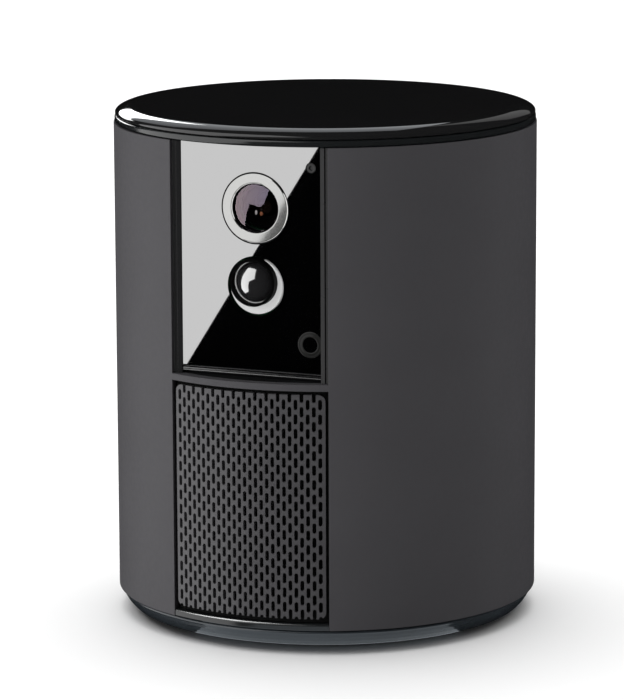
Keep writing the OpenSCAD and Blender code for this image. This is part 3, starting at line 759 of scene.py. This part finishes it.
def make_strip():
    """Glossy strip under the grille, with a rounded upper edge."""
    r, inner, c, chamfer = STRIP_R, STRIP_R - 1.7, 0.5, 0.1
    half = math.degrees(math.asin(STRIP_X / r))
    profile = [(inner, STRIP_Z0), (r - chamfer, STRIP_Z0), (r, STRIP_Z0 + chamfer)]
    profile += arc(r - c, STRIP_Z1 - c, c, 0, 90, 8) + [(inner, STRIP_Z1)]
    strip = lathe("lower_strip", profile, "trim_gloss", segments=60, a0=-90 - half, a1=-90 + half)
    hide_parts("lower_trim")


# ---------------------------------------------------------------- grille

SLOT_COLUMNS, SLOT_PITCH, SLOT_LEN, SLOT_W = 27, 3.05, 2.2, 0.76
SIDE_MARGIN, FOOT_MARGIN = 3.54, 0.95   # beside the outer columns together, and under the lowest centres
SLOT_STEP = (2 * CUT_X - SIDE_MARGIN) / (SLOT_COLUMNS - 1)
PANEL_T, CORNER_R = 1.0, 1.4
# Round a slot's outline: the angles below 180 degrees are on its upper end, and the others on its lower end
SLOT_ANGLES = (0, 36, 72, 108, 144, 180 - TINY, 180 + TINY, 216, 252, 288, 324, 360 - TINY)


def slot_centres():
    rows = math.ceil((GRILLE_Z1 - GRILLE_Z0) / SLOT_PITCH)
    for i in range(SLOT_COLUMNS):
        for k in range(rows):
            yield ((i - (SLOT_COLUMNS - 1) / 2) * SLOT_STEP,
                   GRILLE_Z0 + FOOT_MARGIN + (k - (1 - i % 2) / 2) * SLOT_PITCH)


def in_slot(x, z, centres):
    r = SLOT_W / 2
    for cx, cz in centres:
        dx = abs(x - cx)
        dz = max(0, abs(z - cz) - (SLOT_LEN / 2 - r))
        if dx < r and dx * dx + dz * dz < r * r:
            return True
    return False


def in_panel(x, z):
    dx = max(0, abs(x) - (GRILLE_X - CORNER_R))
    mid = (GRILLE_Z0 + GRILLE_Z1) / 2
    dz = max(0, abs(z - mid) - ((GRILLE_Z1 - GRILLE_Z0) / 2 - CORNER_R))
    return dx * dx + dz * dz < CORNER_R * CORNER_R


def make_grille():
    """A sheet with staggered slots, rounded at every edge and rolled to the case's curve."""
    points, edges = [], []

    def loop(outline):
        start = len(points)
        points.extend(Vector(p) for p in outline)
        edges.extend((start + i, start + (i + 1) % len(outline)) for i in range(len(outline)))

    r, arm = SLOT_W / 2, (SLOT_LEN - SLOT_W) / 2
    centres = list(slot_centres())
    for cx, cz in centres:
        loop([(cx + r * math.cos(math.radians(a)),
               cz + math.copysign(arm, 180 - a) + r * math.sin(math.radians(a))) for a in SLOT_ANGLES])
    panel = []
    for side, level, a0 in ((1, 1, 0), (-1, 1, 90), (-1, -1, 180), (1, -1, 270)):
        x = side * (GRILLE_X - CORNER_R)
        z = (GRILLE_Z1 - CORNER_R) if level > 0 else (GRILLE_Z0 + CORNER_R)
        panel += arc(x, z, CORNER_R, a0, a0 + 90, 8)
    loop(panel)
    verts, _, faces, *_ = geometry.delaunay_2d_cdt(points, edges, [], 0, 1e-5)
    columns = {}
    for cx, cz in centres:
        columns.setdefault(round(cx / SLOT_STEP), []).append((cx, cz))
    bm = bmesh.new()
    made = {}

    def vert(i):
        if i not in made:
            made[i] = bm.verts.new(Vector((verts[i].x, 0, verts[i].y)))
        return made[i]

    for face in faces:
        x = sum(verts[i].x for i in face) / len(face)
        z = sum(verts[i].y for i in face) / len(face)
        near = columns.get(round(x / SLOT_STEP), [])
        if in_panel(x, z) and not in_slot(x, z, near):
            bm.faces.new([vert(i) for i in face])
    bmesh.ops.recalc_face_normals(bm, faces=bm.faces)
    front = bmesh.ops.extrude_face_region(bm, geom=list(bm.faces))
    for v in (g for g in front["geom"] if isinstance(g, bmesh.types.BMVert)):
        v.co.y = -PANEL_T
    bmesh.ops.recalc_face_normals(bm, faces=bm.faces)
    for v in bm.verts:
        v.co *= MM
    sheet = new_object("speaker_grille", bm, "grille_grey")
    bevel(sheet, 0.13, 2, angle=40)
    apply_modifiers(sheet)
    back_r = GRILLE_R - PANEL_T
    for v in sheet.data.vertices:
        x, depth = v.co.x / MM, -v.co.y / MM
        radius = back_r + depth
        a = math.asin(max(-1, min(1, x / GRILLE_R)))
        v.co = Vector((radius * math.sin(a), -radius * math.cos(a), v.co.z / MM)) * MM
    sheet.visible_glossy = False
    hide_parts("grille_panel")


# ---------------------------------------------------------------- stage


def stage_floor():
    """The plain pale floor, which reflections and clear pieces don't see either."""
    n = Nodes("stage_floor")
    n.link(n.ramp(n.noise(3, 2), [(0.3, grey(0.90)), (0.7, grey(0.93))]), n.bsdf.inputs["Base Color"])
    n.set(Roughness=0.9, Specular_IOR_Level=0.1)
    bm = bmesh.new()
    bmesh.ops.create_circle(bm, cap_ends=True, cap_tris=False, segments=96, radius=6.0)
    mesh = bpy.data.meshes.new("floor")
    bm.to_mesh(mesh)
    bm.free()
    mesh.materials.append(n.mat)
    obj = bpy.data.objects.new("floor", mesh)
    bpy.context.scene.collection.objects.link(obj)
    obj.visible_glossy = False
    obj.visible_transmission = False


MIDDLE = Vector((0, 0, 0.06))           # of the case, in m; the lights are placed round it


def around(azimuth, elevation, distance):
    """A place seen from the case at an azimuth counted from the camera's, in degrees, to the right."""
    a, e = AZ + math.radians(azimuth), math.radians(elevation)
    return Vector((math.sin(a) * math.cos(e), -math.cos(a) * math.cos(e), math.sin(e))) * distance + MIDDLE


def area(name, matrix, size, radiance, color=(1, 1, 1), glossy_only=False, diffuse_only=False):
    """A rectangular light of the given radiance, shining along its -Z."""
    data = bpy.data.lights.new(name, "AREA")
    data.shape = "RECTANGLE"
    data.size, data.size_y = size
    data.energy = radiance * math.pi * size[0] * size[1]
    data.color = color
    obj = bpy.data.objects.new(name, data)
    bpy.context.scene.collection.objects.link(obj)
    obj.matrix_world = matrix
    obj.visible_camera = False
    obj.visible_transmission = False
    obj.visible_diffuse = not glossy_only
    obj.visible_glossy = not diffuse_only
    return obj


def only_for(light, *pieces):
    """Limits a light to some of the pieces."""
    group = bpy.data.collections.new(light.name + "_for")
    for name in pieces:
        group.objects.link(bpy.data.objects[name])
    light.light_linking.receiver_collection = group


def not_for(light, *pieces):
    """Keeps a light off some of the pieces."""
    only_for(light, *pieces)
    for member in light.light_linking.receiver_collection.collection_objects:
        member.light_linking.link_state = "EXCLUDE"


def on_ball(x, z, centre_z, apex, ball):
    """The point of a dome at (x, z), and its normal."""
    deep = math.sqrt(max(ball * ball - x * x - (z - centre_z) ** 2, 0))
    p = Vector((x, -(apex - ball + deep), z))
    return p * MM, Vector((x, -deep, z - centre_z)).normalized()


def mirror_card(name, points, distance, radiance, left_color, right_color):
    """A card whose mirror image on a glossy surface has its corners at the given (place, normal) pairs. Its
    colour changes along X from left_color to right_color, and other cards shine through it."""
    rays = []
    for p, normal in points:
        ray = (p - EYE).normalized()
        rays.append((p, ray - 2 * ray.dot(normal) * normal))
    axis = sum((r for _, r in rays), Vector()).normalized()
    middle = sum((p for p, _ in rays), Vector()) / len(rays) + axis * distance
    corners = [p + r * ((middle - p).dot(axis) / r.dot(axis)) for p, r in rays]
    bm = bmesh.new()
    bm.faces.new([bm.verts.new(c) for c in corners])
    bmesh.ops.triangulate(bm, faces=bm.faces[:])
    mesh = bpy.data.meshes.new(name)
    bm.to_mesh(mesh)
    bm.free()
    mat = bpy.data.materials.new(name)
    mat.use_nodes = True
    tree = mat.node_tree
    tree.nodes.clear()
    out = tree.nodes.new("ShaderNodeOutputMaterial")
    shine = tree.nodes.new("ShaderNodeEmission")
    shine.inputs["Strength"].default_value = radiance
    place = tree.nodes.new("ShaderNodeTexCoord")
    split = tree.nodes.new("ShaderNodeSeparateXYZ")
    blend = tree.nodes.new("ShaderNodeMapRange")
    blend.inputs["From Min"].default_value = min(c.x for c in corners)
    blend.inputs["From Max"].default_value = max(c.x for c in corners)
    mix = tree.nodes.new("ShaderNodeMix")
    mix.data_type = "RGBA"
    mix.inputs[6].default_value = (*left_color, 1)
    mix.inputs[7].default_value = (*right_color, 1)
    tree.links.new(place.outputs["Object"], split.inputs[0])
    tree.links.new(split.outputs["X"], blend.inputs["Value"])
    tree.links.new(blend.outputs["Result"], mix.inputs[0])
    tree.links.new(mix.outputs[2], shine.inputs["Color"])
    through = tree.nodes.new("ShaderNodeBsdfTransparent")
    both = tree.nodes.new("ShaderNodeAddShader")
    tree.links.new(shine.outputs[0], both.inputs[0])
    tree.links.new(through.outputs[0], both.inputs[1])
    tree.links.new(both.outputs[0], out.inputs[0])
    mesh.materials.append(mat)
    obj = bpy.data.objects.new(name, mesh)
    bpy.context.scene.collection.objects.link(obj)
    obj.visible_camera = obj.visible_diffuse = obj.visible_transmission = obj.visible_shadow = False
    return obj


def facing_case(place):
    return Matrix.Translation(place) @ (MIDDLE - place).to_track_quat("-Z", "Y").to_matrix().to_4x4()


def card(name, azimuths, elevations, distance, radiance, *pieces, color=(1, 1, 1)):
    """A card that only reflections on the pieces see, filling a span of azimuth and elevation round the
    case, at a distance in m."""
    a, e = sum(azimuths) / 2, sum(elevations) / 2
    w = 2 * distance * math.tan(math.radians(abs(azimuths[1] - azimuths[0]) / 2)) * math.cos(math.radians(e))
    h = 2 * distance * math.tan(math.radians(abs(elevations[1] - elevations[0]) / 2))
    place = facing_case(around(a, e, distance))
    only_for(area(name, place, (w, h), radiance, color, glossy_only=True), *pieces)


def window_card(top, bottom, distance, radiance):
    """The big card on the left. Its right edge is the line that the window reflects from top to bottom, both
    (x, z) on the window's face."""
    side, rise, width, height = -68, 8, 1.15, 2.6
    normal = (around(side, rise, 1.0) - MIDDLE).normalized()
    centre = Vector((0, 0, 0.08))
    ends = []
    for x, z in (top, bottom):
        p = Vector((x, -GLASS_D, z)) * MM
        ray = (p - EYE).normalized()
        ray.y = -ray.y
        t = (distance - (p - centre).dot(normal)) / ray.dot(normal)
        ends.append(p + ray * t)
    up = (ends[0] - ends[1]).normalized()
    right = up.cross(normal).normalized()
    if right.dot(around(0, 0, 1.0) - around(side, 0, 1.0)) < 0:
        right = -right
    m = Matrix.Identity(4)
    for i, axis in enumerate((up.cross(normal), up, normal)):
        m[0][i], m[1][i], m[2][i] = axis
    m.translation = (ends[0] + ends[1]) / 2 - right * width / 2
    return area("window_card", m, (width, height), radiance, glossy_only=True)


def world(strength):
    """A plain white surrounding that reflections and clear pieces don't see."""
    w = bpy.data.worlds.new("world")
    bpy.context.scene.world = w
    w.use_nodes = True
    bg = w.node_tree.nodes["Background"]
    bg.inputs[0].default_value = (1, 1, 1, 1)
    bg.inputs[1].default_value = strength
    w.cycles_visibility.glossy = False
    w.cycles_visibility.transmission = False


for make in (make_shell, make_lid, make_trim, make_base_ring, make_frame, make_ledge, make_lens_ring,
             make_lens_cover, make_lens_elements, make_painted_glints, make_motion_sensor, make_lamp_port,
             make_microphone, make_strip, make_grille):
    make()

stage_floor()
world(0.2)
scene = bpy.context.scene
scene.view_settings.view_transform = "Standard"
scene.view_settings.look = "None"

# Soft light from above and from both sides, and one that keeps the floor pale
SIDE_SIZE, FLOOR_SIZE = (1.8, 2.4), (5.0, 5.0)
area("top_soft", facing_case(Vector((0, 0.6, 3.0))), (6.5, 6.5), 0.9, diffuse_only=True)
not_for(area("left_soft", facing_case(around(-57, 12, 2.4)), SIDE_SIZE, 5.0, diffuse_only=True), "floor")
not_for(area("right_soft", facing_case(around(112, 12, 2.4)), SIDE_SIZE, 3.8, diffuse_only=True), "floor")
only_for(area("floor_soft", facing_case(around(-150, 70, 3.0)), FLOOR_SIZE, 1.6, diffuse_only=True), "floor")

# What the glossy pieces mirror: the window's bright half, the ledge's bead, the lens ring, the lid's edge
only_for(window_card((13.95, 105.25), (-16.0, 58.0), 0.75, 1.95), "front_glass", "lens_trim", "lower_strip",
         "shell", "window_surround", "mic_port", "lamp_port", "trim_ring", "lid", "foot_ring",
         "speaker_grille")
card("bead_light", (-90, -45), (15, 60), 0.22, 17.0, "window_ledge", "lower_strip")
card("ring_edge", (-5, 120), (-50, 30), 1.0, 3.2, "lens_trim")
card("ring_low", (-80, 30), (-88, -40), 1.0, 3.2, "lens_trim")
card("ring_dim", (-75, -12), (-35, 40), 1.7, 0.33, "lens_trim")
card("back_high", (174, 212), (15, 46), 1.6, 0.72, "lid", "trim_ring", color=(0.93, 0.96, 1.0))
card("back_left", (186, 222), (12, 24), 1.5, 7.0, "lid", "trim_ring")
card("back_right", (156, 174), (14, 30), 1.6, 0.22, "lid", "trim_ring")

# The floor's own light, mirrored by the foot ring; it lies just above the floor and shines up
ON_FLOOR = Matrix.Rotation(AZ, 4, "Z") @ Matrix.Rotation(math.pi, 4, "X") @ Matrix.Translation((0, 0, -0.0008))
only_for(area("floor_card", ON_FLOOR, (0.056, 0.36), 0.8, (0.85, 0.93, 1.0), glossy_only=True),
         "foot_ring", "lower_strip")

# What the lens cover mirrors: a bright room with a dark notch in it. Offsets from the lens's centre in mm; the
# points past the cover's rim only close the outline.
ROOM = ((-2.8, -4.8), (-1.4, 0.8), (-0.3, 0.5), (0.8, 0.2), (1.8, 0.9), (2.2, 2.1), (2.6, 3.3), (3.4, 5.2),
        (0.5, 5.7), (-3.3, 5.1), (-6.4, 3.2), (-7.4, 0.0), (-7.0, -3.1), (-5.3, -6.0))
# What the motion sensor's dome mirrors: a tall window. Offsets from the dome's centre in mm.
TALL_WINDOW = ((-0.9, 3.1), (0.9, 2.8), (0.8, 1.0), (-0.4, 0.4), (-0.6, -1.7), (-1.5, -2.2), (-2.2, -1.5),
               (-2.3, 0.4), (-1.6, 2.1))
MIRROR_FAR = 3.2             # m
for name, piece, outline, centre_z, apex, ball, radiance, left, right in (
        ("lens_card", "lens_cover", ROOM, LENS_Z, COVER_D, ball_radius(COVER_RIM, COVER_RISE), 4.8,
         (1.25, 0.97, 0.97), (0.8, 0.7, 0.97)),
        ("dome_card", "sensor_dome", TALL_WINDOW, DOME_Z, GLASS_D + DOME_LIFT + DOME_RISE,
         ball_radius(DOME_R, DOME_RISE), 7.5, (1, 1, 1), (0.9, 0.9, 0.9))):
    spots = [on_ball(x, centre_z + z, centre_z, apex, ball) for x, z in outline]
    only_for(mirror_card(name, spots, MIRROR_FAR, radiance, left, right), piece)
card("dome_edge", (-178, -142), (-10, 40), 1.0, 5.0, "sensor_dome")

# The sensor's ring and seat stand in the collar's shade, so they get a light without shadows
sensor_fill = area("sensor_fill", facing_case(around(15, 10, 0.8)), (0.4, 0.4), 30.0, diffuse_only=True)
sensor_fill.data.use_shadow = False
only_for(sensor_fill, "sensor_ring", "sensor_seat")
